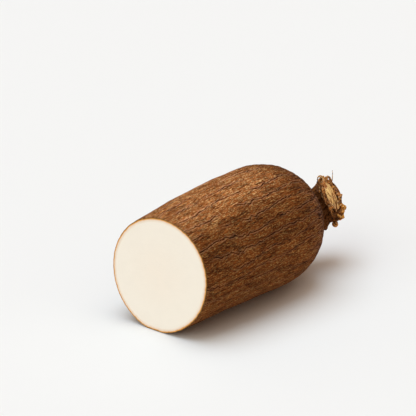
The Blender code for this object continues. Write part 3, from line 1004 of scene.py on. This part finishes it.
def bark_body():
    """The stub's bark: a turned outline, split by waves and noise round it, with a ragged rim, a fold of
    bark on one side (a bell curve round it and along it) and a foot that sits lower than the head."""
    radius, height = (value[:, None] for value in bark_profile())
    angle = round_angles(BARK_COLUMNS)
    outside = smooth_step(radius, 5 * MM, 14 * MM)
    above_foot = smooth_step(height, FOOT_CLEAR_AT, COLLAR_AT) * outside
    towards_rim = smooth_step(height, HEAD_AT - 6 * MM, RIM_AT) * outside
    rough = waves(SPLINTER_WAVES + BROAD_WAVES, angle, height / RIM_AT)
    turns = angle / (2 * np.pi)
    share = height / RIM_AT + 1
    splits = np.abs(lattice_noise(turns, share, (46, 5), 51))
    splits = splits + 0.6 * np.abs(lattice_noise(turns, share, (90, 9), 52))
    crust = lattice_noise(turns, share, (64, 34), 53)
    collar = COLLAR_RISE * np.exp(
        -(((angle + np.pi) % (2 * np.pi) - np.pi - COLLAR_ANGLE) / COLLAR_HALF_WIDTH) ** 2
        - ((height - COLLAR_AT) / COLLAR_HALF_LENGTH) ** 2
    )
    grown = radius + above_foot * (rough + collar)
    relief = -1.1 * MM * splits + 0.3 * MM * crust
    grown = grown + smooth_step(height, 2 * MM, FOOT_CLEAR_AT) * outside * relief
    ragged = 0.8 * MM * lattice_noise(turns, share * 0, (60, 3), 54)
    lifted = height + towards_rim * (rim_lift(angle) + ragged)
    grain = turned_points(grown, angle, lifted)
    points = grain.copy()
    points[..., 0] += foot_drop(lifted)
    inner = smooth_step(np.arange(BARK_RINGS)[:, None] / BARK_RINGS, 0.72, 0.8)
    # painted shade: the tone drops down into the gap round the wood, in the rim's hollow and on the near
    # side
    tone = smooth_step(height, 16 * MM, 31 * MM) * (1 - inner) * (1 - rim_gap(angle))
    tone = tone - 0.3 * splits * (1 - towards_rim) - 0.45 * near_side(angle)
    thin = smooth_step(height, RIM_AT - 1.2 * MM, RIM_AT) * (1 - inner)
    body = closed_skin(on_tip(points))
    # the gap round the wood and the rim's hollow are painted less pale too, as part of their shade
    return with_values(body, grain=grain, tone=tone, thin=0.5 * thin * (1 - rim_gap(angle)))


def wood_body():
    """The broken wood: a plug whose top is torn along the fibres. The top is a dome that falls with the
    square of the radius, less ridges of noise that change quickly across the fibres and slowly along them,
    with broad lobes of noise, a groove and a hollow at the edge (bell curves). Its side sinks from there."""
    angle = round_angles(WOOD_COLUMNS)
    top = np.linspace(0.4 * MM, WOOD_RADIUS, WOOD_RINGS)
    side = np.linspace(WOOD_RADIUS, 0.93 * WOOD_RADIUS, WOOD_WALL_RINGS)
    radius = np.concatenate([top, side])[:, None]
    sunk = np.concatenate([np.zeros(WOOD_RINGS), np.linspace(*WOOD_SIDE, WOOD_WALL_RINGS)])[:, None]
    drawn_in = 0.08 * near_side(angle) + 0.2 * rim_gap(angle) + 0.06 * bell_round(angle, WOOD_NOTCH, 0.35)
    wavy = radius * (1 + 0.035 * np.sin(5 * angle + 1) + 0.03 * np.sin(11 * angle) - drawn_in)
    x = wavy * np.cos(angle) + WOOD_ASIDE[0]
    y = wavy * np.sin(angle) + WOOD_ASIDE[1]
    along = x * math.cos(GRAIN_ANGLE) + y * math.sin(GRAIN_ANGLE)
    across = -x * math.sin(GRAIN_ANGLE) + y * math.cos(GRAIN_ANGLE)
    u = across / (2 * WOOD_RADIUS) + 0.5
    v = along / (2 * WOOD_RADIUS) + 0.5
    ridges = np.abs(lattice_noise(u, v, (13, 3), 61)) + 0.5 * np.abs(lattice_noise(u, v, (31, 5), 62))
    groove = np.exp(-(((across + 0.16 * along - 1.2 * MM) / (1.5 * MM)) ** 2))
    dome = WOOD_AT - 0.6 * MM + WOOD_DOME * (1 - (radius / WOOD_RADIUS) ** 2)
    lobes = lattice_noise(u, v, (4, 3), 63)
    edge = smooth_step(radius, 0.68 * WOOD_RADIUS, 0.86 * WOOD_RADIUS)
    hollow = edge * bell_round(angle, WOOD_HOLLOW, 0.42)
    height = dome - sunk - WOOD_RIDGES * ridges + WOOD_LOBES * lobes
    height = height - WOOD_GROOVE * groove - WOOD_TORN_OUT * hollow
    body = closed_skin(on_tip(np.stack([x, y, height], -1)))
    # painted shade: the tone drops down the side, at the edge, in the troughs between ridges, in the groove,
    # in the torn-out hollow and at the near edge
    tone = 1 - smooth_step(sunk, 0, 3 * MM) - 0.45 * smooth_step(radius, 0.82 * WOOD_RADIUS, WOOD_RADIUS)
    tone = tone - 0.8 * ridges - 0.4 * groove + 0.35 - 1.1 * hollow
    tone = tone - 0.5 * near_side(angle) * smooth_step(radius, 0.86 * WOOD_RADIUS, 0.97 * WOOD_RADIUS)
    return with_values(body, grain=np.stack([across, along, height], -1), tone=tone)


def flake_body(angle, width, length, curl, root, start_radius, thickness, seed, tone, pale):
    """A curled strip of dry bark: a grid, across by along, bent outwards on an arc of curl radians and
    cupped by the square across it, with a thickness. It thins towards a blunt, slightly ragged tip; the two
    sides are joined round its edge."""
    across = np.linspace(-0.5, 0.5, FLAKE_ACROSS)[None, :]
    along = np.linspace(0, 1, FLAKE_ALONG)[:, None]
    noise = lattice_noise(across + 0.5, along, (9, 5), seed)
    tip = lattice_noise(across + 0.5, 0 * across, (11, 3), seed + 1)
    reach = along * (1 + 0.13 * tip - 0.3 * (2 * across) ** 4 * along)
    side = width * (1 - BLUNT_TAPER * along**4) * (across + 0.05 * noise * along)
    outward = length * (1 - np.cos(curl * reach)) / curl - FLAKE_CUP * width * across**2
    outward = outward + 0.35 * MM * noise
    upward = length * np.sin(curl * reach) / curl + FLAKE_RIPPLE * width * np.sin(8 * across + angle)
    sheet = np.stack(np.broadcast_arrays(start_radius + outward, side, root + upward), -1)
    normal = np.cross(np.gradient(sheet, axis=1), np.gradient(sheet, axis=0))
    normal = normal / np.linalg.norm(normal, axis=-1, keepdims=True)
    edge_fade = np.sqrt(np.clip(1 - (2 * across) ** 6, 0.02, 1))
    half = (0.5 * thickness * (1 - 0.55 * along) * edge_fade)[..., None]
    rings = np.concatenate([sheet + normal * half, (sheet - normal * half)[:, ::-1]], axis=1)
    upright = spun(rings, angle)
    body = closed_skin(on_tip(upright))
    worn = np.maximum(along**3, 0.8 * np.abs(2 * across) ** 5)
    both = pale * np.concatenate([worn, worn[:, ::-1]], axis=1)
    shades = np.broadcast_to(tone + 0.25 * along, both.shape)
    return with_values(body, grain=upright, tone=shades, thin=both)


def flakes_like_packed():
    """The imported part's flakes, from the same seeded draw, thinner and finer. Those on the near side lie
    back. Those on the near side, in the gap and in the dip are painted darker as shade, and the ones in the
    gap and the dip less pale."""
    draw = np.random.default_rng(FLAKE_SEED)
    bodies = []
    for i in range(FLAKES):
        angle = 2 * math.pi * (i + 0.6 * draw.random()) / FLAKES
        width = draw.uniform(*FLAKE_WIDTH)
        length = draw.uniform(*FLAKE_LENGTH)
        curl = draw.uniform(*FLAKE_CURL)
        root = HEAD_AT + draw.uniform(*FLAKE_ROOT)
        start = HEAD_RADIUS - FLAKE_SUNK
        near, dip = near_side(angle), rim_dip(angle)
        gap = rim_gap(angle) + 0.5 * dip
        length = 0.92 * length * (1 - 0.4 * near - 0.3 * away_side(angle))
        length = length * (1 - 0.4 * dip)
        curl = max(curl, 1.1) + 0.5 * near
        # painted shade: flakes on the near side, in the gap and in the dip are darker and less pale
        tone = 0.2 + 0.5 * (i % 3 > 0) - 0.4 * near - gap
        root = root - 3.0 * MM * near - 2.0 * MM * dip
        pale = 0.9 - 0.8 * gap
        seed = 100 + 2 * i
        thickness = FLAKE_THICKNESS
        bodies.append(flake_body(angle, width, length, curl, root, start, thickness, seed, tone, pale))
    return bodies


def small_flakes():
    """Small bark scales all round the rim and the head, by a seeded draw."""
    draw = np.random.default_rng(DETAIL_SEED)
    bodies = []
    for i in range(SMALL_FLAKES):
        angle = 2 * math.pi * (i + 0.8 * draw.random()) / SMALL_FLAKES
        width = draw.uniform(*SMALL_FLAKE_WIDTH) * MM
        length = draw.uniform(*SMALL_FLAKE_LENGTH) * MM
        curl = draw.uniform(*SMALL_FLAKE_CURL)
        near = near_side(angle)
        root = draw.uniform(*SMALL_FLAKE_ROOT) * MM - 2.5 * MM * near
        length = length * (1 - 0.4 * away_side(angle))
        start = (18.6 + 0.6 * draw.random()) * MM - 1.2 * MM * (root > 29 * MM)
        # painted shade: small flakes on the near side, in the gap and in the dip are darker and less pale
        gap = rim_gap(angle) + 0.5 * rim_dip(angle)
        tone = draw.uniform(0.0, 0.8) - 0.4 * near - gap
        pale = 0.9 - 0.8 * gap
        seed = 200 + 2 * i
        thickness = SMALL_FLAKE_THICKNESS * MM
        bodies.append(flake_body(angle, width, length, curl, root, start, thickness, seed, tone, pale))
    return bodies


def ribbon_body(path, side, width, thickness, tone, thin):
    """A flat strip along a path of the upright stub: rings that are flattened ovals, wide along side and
    narrow square to it, drawn in at both ends by the root of a sine."""
    ahead = np.gradient(path, axis=0)
    other = np.cross(ahead, side)
    other = other / np.linalg.norm(other, axis=1, keepdims=True)
    side = np.cross(other, ahead)
    side = side / np.linalg.norm(side, axis=1, keepdims=True)
    angle = round_angles(RIBBON_COLUMNS)
    share = np.linspace(0, 1, len(path))[:, None]
    drawn_in = (0.15 + 0.85 * np.sqrt(np.sin(np.pi * np.clip(share, 0.02, 0.98))))[..., None]
    wide = 0.5 * width * drawn_in * np.cos(angle)[None, :, None] * side[:, None]
    thick = 0.5 * thickness * drawn_in * np.sin(angle)[None, :, None] * other[:, None]
    rings = path[:, None] + wide + thick
    body = closed_skin(on_tip(rings))
    flat = np.broadcast_to(np.abs(np.cos(angle)) ** 4, rings.shape[:2])
    return with_values(body, grain=rings, tone=np.full(flat.shape, tone), thin=thin * (0.4 + 0.6 * flat))


def rim_slivers():
    """Slivers of bark that lie along the rim, most of them on the near side: arcs whose radius and height
    waver by sine waves."""
    bodies = []
    share = np.linspace(0, 1, 24)
    for degrees, span, radius, height, width, thickness, tone, thin in SLIVERS:
        turned = np.radians(degrees + 1.6 * span * (share - 0.5))
        out = radius * MM + 0.8 * MM * np.sin(5 * share + degrees)
        rise = height * MM + 0.8 * MM * np.sin(7 * share + 3 * degrees)
        path = turned_points(out, turned, rise)
        side = turned_points(0.35, turned, 1.0)
        bodies.append(ribbon_body(path, side, width * MM, thickness * MM, tone, thin))
    return bodies


def curled_loop():
    """A pale scroll of bark at the top of the near rim: a strip rolled up in a spiral round an axis along
    the rim."""
    share = np.linspace(0, 1, 30)
    roll = np.radians(-70 + 330 * share)
    size = (3.2 - 1.2 * share) * MM
    outward = 19.2 * MM + size * np.cos(roll)
    height = 29.4 * MM + size * np.sin(roll)
    path = turned_points(outward, SCROLL_ANGLE, height)
    side = np.tile([-math.sin(SCROLL_ANGLE), math.cos(SCROLL_ANGLE), 0.0], (len(share), 1))
    return ribbon_body(path, side, 4.4 * MM, 1.7 * MM, 0.95, 1.3)


def tube_body(path, thick, ends=(0.9, 0.15)):
    """A thin splinter along a path of points: rings of a radius that falls from the first share of thick to
    the last, square to the path."""
    ahead = np.gradient(path, axis=0)
    ahead = ahead / np.linalg.norm(ahead, axis=1, keepdims=True)
    aside = np.cross(ahead, np.array([0.3, 0.2, 1.0]) / 1.06)
    aside = aside / np.linalg.norm(aside, axis=1, keepdims=True)
    other = np.cross(ahead, aside)
    angle = round_angles(TUBE_COLUMNS)[None, :, None]
    radius = thick * np.linspace(*ends, len(path))[:, None, None]
    around = np.cos(angle) * aside[:, None] + np.sin(angle) * other[:, None]
    return closed_skin(path[:, None] + radius * around)


def splinters():
    """Short splinters that stand out of the gap and the rim, by a seeded draw. Each leans in or out more
    and more along its length, and turns a little round the rim."""
    draw = np.random.default_rng(DETAIL_SEED + 1)
    bodies = []
    for i in range(SPLINTERS):
        angle = 2 * math.pi * (i + draw.random()) / SPLINTERS
        radius = draw.uniform(*SPLINTER_RADIUS) * MM
        length = draw.uniform(*SPLINTER_LENGTH) * MM
        lean = draw.uniform(*SPLINTER_LEAN)
        length = length * (1 - 0.5 * float(near_side(angle)))
        twist = draw.uniform(*SPLINTER_TWIST)
        share = np.linspace(0, 1, 8)
        out = radius + length * share * math.sin(lean) * (0.6 + 0.4 * share)
        rise = SPLINTER_ROOT * MM + length * share * math.cos(lean)
        path = turned_points(out, angle + twist * share, rise)
        body = tube_body(path, draw.uniform(*SPLINTER_THICKNESS) * MM)
        body["points"] = on_tip(body["points"])
        along = np.broadcast_to(share[:, None], (len(share), TUBE_COLUMNS))
        grain = np.broadcast_to(path[:, None], (*along.shape, 3))
        bodies.append(with_values(body, grain=grain, tone=0.4 + 0.5 * along, thin=along * 0.9))
    return bodies


def lump_body(centre, size, outward, seed, tone, thin, rough):
    """A small lump: a ball of rings, made uneven by noise and stretched by size along outward, aside and
    up."""
    polar = np.linspace(0.06, math.pi - 0.06, LUMP_RINGS)[:, None]
    angle = round_angles(LUMP_COLUMNS)
    bumpy = 1 + rough * lattice_noise(angle / (2 * np.pi), polar / math.pi, (6, 4), seed)
    a, b, c = size
    up = np.broadcast_to(np.cos(polar), bumpy.shape)
    ball = np.stack([a * np.sin(polar) * np.cos(angle), b * np.sin(polar) * np.sin(angle), c * up], -1)
    placed = spun(ball * bumpy[..., None], outward) + centre
    body = closed_skin(on_tip(placed))
    return with_values(
        body, grain=placed, tone=np.full(bumpy.shape, tone), thin=np.full(bumpy.shape, thin)
    )


def buds():
    """The dry buds: a round one on a short stalk below the head, two lumps of ochre bark on the rim, and a
    flat one on its near side. Each row gives the angle, radius, height, stretches and tone."""
    bodies = []
    for angle, out, height, size, tone in (
        (BUD_ANGLE, HEAD_RADIUS + 2.9 * MM, BUD_AT + 1.2 * MM, (1.0, 0.95, 0.95), 0.92),
        (BUD_ANGLE, HEAD_RADIUS + 0.4 * MM, BUD_AT + 2.0 * MM, (1.1, 0.6, 0.6), 0.4),
        (math.radians(15), HEAD_RADIUS - 1.4 * MM, RIM_AT + 1.2 * MM, (0.8, 1.0, 0.9), 1.1),
        (math.radians(24), HEAD_RADIUS - 1.0 * MM, RIM_AT - 1.5 * MM, (0.9, 0.9, 0.8), 1.0),
        (SIDE_BUD_ANGLE, HEAD_RADIUS - 0.6 * MM, RIM_AT - 5 * MM, (0.7, 1.2, 0.5), 0.25),
    ):
        centre = (out * math.cos(angle), out * math.sin(angle), height)
        bodies.append(lump_body(centre, scaled(size, BUD_RADIUS), angle, 71, tone, 0.0, 0.12))
    return bodies


def crumbs():
    """Pale crumbs of pith and bark caught on the rim, on the side away from the cut, by a seeded draw."""
    draw = np.random.default_rng(DETAIL_SEED + 2)
    bodies = []
    for i in range(CRUMBS):
        angle = math.radians(draw.uniform(*CRUMB_ANGLE))
        radius = draw.uniform(*CRUMB_RADIUS) * MM
        height = RIM_AT + rim_lift(angle) + draw.uniform(*CRUMB_HEIGHT) * MM
        size = draw.uniform(*CRUMB_SIZE) * MM
        centre = (radius * math.cos(angle), radius * math.sin(angle), height)
        tone = draw.uniform(0.4, 0.9)
        thin = draw.uniform(0.3, 1)
        bodies.append(lump_body(centre, (size, 1.3 * size, 0.9 * size), angle, 80 + i, tone, thin, 0.5))
    return bodies


def hair():
    """One thin fibre that stands straight up from the far rim and sways a little, by a sine."""
    foot = on_tip(turned_points(19 * MM, FIBRE_ANGLE, 33 * MM))
    share = np.linspace(0, 1, 14)[:, None]
    path = foot + share * np.array(FIBRE_REACH) + np.sin(3 * share) * np.array(FIBRE_SWAY)
    body = tube_body(path, 0.42 * MM, (1.2, 0.4))
    along = np.broadcast_to(share, (len(share), TUBE_COLUMNS))
    grain = np.broadcast_to(path[:, None], (*along.shape, 3))
    return with_values(body, grain=grain, tone=0.7 + 0 * along, thin=0.7 + 0.2 * along)


class BarkOperator(Operator):
    """Makes the stub's bark: neck, ragged rim and gap round the wood."""

    bl_idname = "yam.make_bark"
    bl_label = "Make Bark"

    def execute(self, context):
        material = bark_material(context.scene.yam_stub)
        put_in_scene("stub_bark", [bark_body()], [material], "vine_stub")
        return {"FINISHED"}


class WoodOperator(Operator):
    """Makes the broken wood in the middle of the stub's end."""

    bl_idname = "yam.make_wood"
    bl_label = "Make Broken Wood"

    def execute(self, context):
        material = wood_material(context.scene.yam_stub)
        put_in_scene("stub_wood", [wood_body()], [material], "vine_stub")
        return {"FINISHED"}


class FlakesOperator(Operator):
    """Makes the curled bark flakes, splinters, crumbs, buds and the thin fibre."""

    bl_idname = "yam.make_flakes"
    bl_label = "Make Flakes and Fibres"

    def execute(self, context):
        material = bpy.data.materials.get("vine_bark_dry")
        if material is None:
            raise RuntimeError("make the bark first: the flakes use its material")
        flakes = flakes_like_packed() + small_flakes() + rim_slivers() + [curled_loop()]
        put_in_scene("bark_flakes", flakes, [material], "vine_stub")
        put_in_scene("stub_splinters", splinters() + [hair()], [material], "vine_stub")
        put_in_scene("stub_buds", buds() + crumbs(), [material], "vine_stub")
        return {"FINISHED"}


# The stage


def studio_world(studio):
    """Warm light from all round; the camera itself sees a plain pale backdrop in its place."""
    world = bpy.data.worlds.new("studio")
    world.use_nodes = True
    tree = world.node_tree
    tree.nodes.clear()
    around = tree.nodes.new("ShaderNodeBackground")
    around.inputs["Color"].default_value = (*studio.warmth, 1)
    around.inputs["Strength"].default_value = studio.surroundings
    seen = tree.nodes.new("ShaderNodeBackground")
    seen.inputs["Color"].default_value = (*studio.backdrop, 1)
    mix = tree.nodes.new("ShaderNodeMixShader")
    tree.links.new(tree.nodes.new("ShaderNodeLightPath").outputs["Is Camera Ray"], mix.inputs[0])
    tree.links.new(around.outputs[0], mix.inputs[1])
    tree.links.new(seen.outputs[0], mix.inputs[2])
    tree.links.new(mix.outputs[0], tree.nodes.new("ShaderNodeOutputWorld").inputs["Surface"])
    return world


def add_sun(name, strength, colour, direction):
    """A soft light from the direction that it is seen in."""
    light = bpy.data.lights.new(name, "SUN")
    light.energy = strength
    light.color = colour
    light.angle = LIGHT_SPREAD
    lamp = bpy.data.objects.new(name, light)
    bpy.context.scene.collection.objects.link(lamp)
    lamp.rotation_euler = Vector(direction).to_track_quat("Z", "Y").to_euler()


class StageOperator(Operator):
    """Makes the floor, the lights and the camera."""

    bl_idname = "yam.make_stage"
    bl_label = "Make Stage"

    def execute(self, context):
        scene = context.scene
        studio = scene.yam_studio
        heights = np.array([[-FLOOR_THICKNESS], [-FLOOR_GAP]])
        plate = closed_skin(turned_points(FLOOR_RADIUS, round_angles(FLOOR_SIDES), heights))
        mesh = bpy.data.meshes.new("floor")
        mesh.from_pydata(plate["points"].tolist(), [], plate["quads"].tolist() + plate["fans"].tolist())
        floor = bpy.data.objects.new("floor", mesh)
        scene.collection.objects.link(floor)
        mesh.materials.append(Recipe("pale_floor").finish((*studio.floor, 1), 0.9, None, 0.1))
        scene.world = studio_world(studio)
        add_sun("key", studio.key, KEY_COLOUR, KEY_FROM)
        add_sun("cut_side", studio.cut_side, CUT_SIDE_COLOUR, CUT_SIDE_FROM)
        add_sun("vine_side", studio.vine_side, VINE_SIDE_COLOUR, VINE_SIDE_FROM)
        camera = bpy.data.cameras.new("camera")
        camera.lens = LENS
        camera.sensor_width = SENSOR_WIDTH
        camera.clip_end = VIEW_DEPTH
        eye = bpy.data.objects.new("camera", camera)
        scene.collection.objects.link(eye)
        level = math.cos(ELEVATION)
        back = Vector((math.sin(AZIMUTH) * level, -math.cos(AZIMUTH) * level, math.sin(ELEVATION)))
        eye.location = Vector(LOOK_AT) + DISTANCE * back
        eye.rotation_euler = back.to_track_quat("Z", "Y").to_euler()
        scene.camera = eye
        scene.view_settings.view_transform = "Standard"
        return {"FINISHED"}


# The panel and the run


class YamPanel(Panel):
    """Lists the operators and their settings in the sidebar."""

    bl_idname = "VIEW3D_PT_yam"
    bl_label = "White Yam Half"
    bl_space_type = "VIEW_3D"
    bl_region_type = "UI"
    bl_category = "Yam"

    def draw(self, context):
        for operator, group in (
            (TuberOperator, "yam_skin"), (None, "yam_flesh"), (BarkOperator, "yam_stub"),
            (WoodOperator, None), (FlakesOperator, None), (StageOperator, "yam_studio"),
        ):
            if operator:
                self.layout.operator(operator.bl_idname)
            if group:
                settings = getattr(context.scene, group)
                for name in settings.__annotations__:
                    self.layout.prop(settings, name)


SETTINGS = {
    "yam_skin": SkinSettings,
    "yam_flesh": FleshSettings,
    "yam_stub": StubSettings,
    "yam_studio": StudioSettings,
}
OPERATORS = (TuberOperator, BarkOperator, WoodOperator, FlakesOperator, StageOperator)


def register():
    """Registers the classes and puts the settings on the scene."""
    for kind in (*SETTINGS.values(), *OPERATORS, YamPanel):
        bpy.utils.register_class(kind)
    for name, kind in SETTINGS.items():
        setattr(bpy.types.Scene, name, PointerProperty(type=kind))


def unregister():
    """Takes the settings and the classes away again."""
    for name in SETTINGS:
        delattr(bpy.types.Scene, name)
    for kind in reversed((*SETTINGS.values(), *OPERATORS, YamPanel)):
        bpy.utils.unregister_class(kind)


def main():
    """Makes the stage and the pieces in order."""
    register()
    bpy.ops.yam.make_stage()
    bpy.ops.yam.make_tuber()
    bpy.ops.yam.make_bark()
    bpy.ops.yam.make_wood()
    bpy.ops.yam.make_flakes()


if __name__ == "__main__":
    main()
